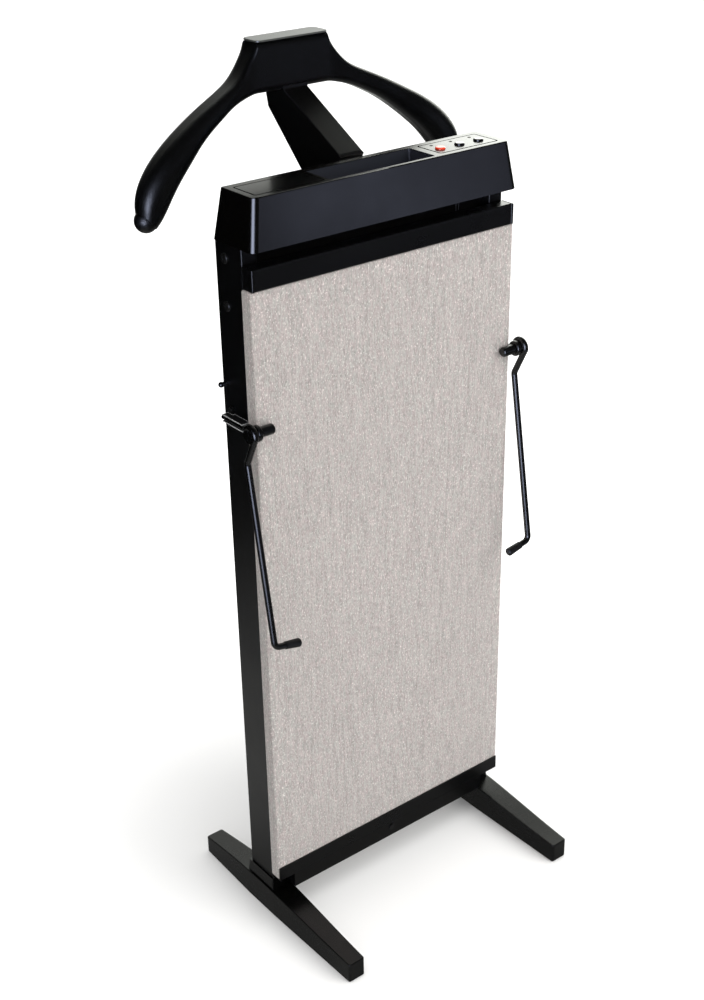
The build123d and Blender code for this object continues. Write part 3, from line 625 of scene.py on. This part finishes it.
def build_world():
    """Lobes for reflections, a soft fill for diffuse light, plain white for the camera."""
    world = bpy.data.worlds.new("studio")
    scene.world = world
    net = Net(world)
    direction = net.node("ShaderNodeTexCoord").outputs["Generated"]
    lobes = [lobe(net, direction, *row) for row in LOBES]
    total = reduce(lambda a, b: net.vector("ADD", a, b).outputs["Vector"], lobes)
    brightest = Vector((0.45, -0.72, 0.53)).normalized()
    toward = net.vector("DOT_PRODUCT", direction, brightest).outputs["Value"]
    fill = net.ramp(toward, span=(-0.4, 1.0), to=(0.42, 1.05))
    ray = net.node("ShaderNodeLightPath").outputs

    def background(**inputs):
        return net.node("ShaderNodeBackground", inputs)

    reflected = background(Color=total)
    diffuse = background(Color=(1.0, 0.995, 0.985, 1), Strength=fill)
    seen = background(Color=(1, 1, 1, 1), Strength=1.02)
    lighting = net.mix_shader(ray["Is Glossy Ray"], diffuse, reflected)
    surface = net.mix_shader(ray["Is Camera Ray"], lighting, seen)
    net.node("ShaderNodeOutputWorld", {"Surface": surface.outputs[0]})
    world.cycles.sampling_method = "NONE"


def floor_material():
    material = bpy.data.materials.new("pale_floor")
    net = Net(material)
    patches = net.noise(net.coords(), scale=3.0, detail=3.0)
    pale = net.mix(patches, (0.86, 0.86, 0.855, 1), (0.89, 0.89, 0.885, 1))
    diffuse = net.node("ShaderNodeBsdfDiffuse", {"Color": pale})
    # mirror-like rays see the sweep bright near the object and dim farther off
    position = net.node("ShaderNodeNewGeometry").outputs["Position"]
    reach = net.vector("LENGTH", position).outputs["Value"]
    # painted shade: the reflected glow is weaker within 0.2 to 0.4 m of the centre, standing in for
    # the contact shadow round the feet
    near = net.ramp(reach, span=(0.2, 0.4), to=(0.14, 0.40))
    dimming = net.ramp(reach, span=(0.4, 1.3), to=(1.0, 0.03))
    glow = net.node("ShaderNodeEmission",
                    {"Color": (1.0, 1.0, 0.97, 1), "Strength": net.mul(near, dimming)})
    clear = net.node("ShaderNodeBsdfTransparent")
    mirrored = net.mix_shader(net.ramp(reach, span=(1.0, 2.2)), glow, clear)
    # the camera sees the sweep run out to pure white, away from the contact shadows
    ray = net.node("ShaderNodeLightPath").outputs
    whiteness = net.ramp(reach, span=(0.16, 0.85), to=(0.02, 0.55))
    white = net.node("ShaderNodeEmission",
                     {"Strength": net.mul(whiteness, ray["Is Camera Ray"])})
    lit = net.node("ShaderNodeAddShader", {0: diffuse.outputs[0], 1: white.outputs[0]})
    surface = net.mix_shader(ray["Is Glossy Ray"], lit, mirrored)
    net.node("ShaderNodeOutputMaterial", {"Surface": surface.outputs[0]})
    material.cycles.emission_sampling = "NONE"
    return material


def build_floor():
    half = 40.0
    mesh = bpy.data.meshes.new("floor")
    corners = [(-half, -half, 0), (half, -half, 0), (half, half, 0), (-half, half, 0)]
    mesh.from_pydata(corners, [], [(0, 1, 2, 3)])
    mesh.materials.append(floor_material())
    floor = bpy.data.objects.new("floor", mesh)
    scene.collection.objects.link(floor)


def area_light(name, location, target, size, power, colour=WHITE):
    """A square light aimed at a target, hidden from the camera and from reflections."""
    light = bpy.data.lights.new(name, "AREA")
    light.shape = "SQUARE"
    light.size = size
    light.energy = power
    light.color = colour
    obj = bpy.data.objects.new(name, light)
    scene.collection.objects.link(obj)
    obj.location = location
    obj.rotation_mode = "QUATERNION"
    obj.rotation_quaternion = (Vector(target) - Vector(location)).to_track_quat("-Z", "Y")
    obj.visible_glossy = False
    obj.visible_camera = False


def build_camera():
    """A camera at front left, above the press; yaw turns from +Y towards +X, in radians."""
    location = (-1.0264925, -1.2844175, 1.3951530)
    yaw, pitch, roll = 0.6566237434, -0.4766452819, -0.0189934030
    forward = Vector((math.sin(yaw) * math.cos(pitch), math.cos(yaw) * math.cos(pitch),
                      math.sin(pitch)))
    level = Vector((math.cos(yaw), -math.sin(yaw), 0.0))
    upright = level.cross(forward)
    right = level * math.cos(roll) + upright * math.sin(roll)
    up = -level * math.sin(roll) + upright * math.cos(roll)
    data = bpy.data.cameras.new("camera")
    data.sensor_fit = "AUTO"
    data.sensor_width = 36.0
    data.lens = 54.247
    data.clip_start = 0.05
    data.clip_end = 200.0
    camera = bpy.data.objects.new("camera", data)
    scene.collection.objects.link(camera)
    pose = Matrix((right, up, -forward)).transposed().to_4x4()
    pose.translation = location
    camera.matrix_world = pose
    scene.camera = camera


make_materials()
finish_parts()
soft_pad("panel_fabric", "panel_pad", "front_panel", crown=0.55, hem=34.0)
soft_pad("fixed_fabric", "fixed_pad", "stand", crown=0.25, hem=26.0)

build_world()
build_floor()
area_light("key", location=(1.6, -2.7, 2.3), target=(0, 0, 0.5), size=2.4, power=62,
           colour=(1.0, 0.99, 0.975))
area_light("top", location=(0.1, 0.1, 4.2), target=(0, 0, 0), size=4.5, power=95)
build_camera()
scene.view_settings.view_transform = "Standard"
scene.view_settings.look = "None"
scene.view_settings.exposure = 0.0
scene.view_settings.gamma = 1.0

bpy.context.view_layer.update()
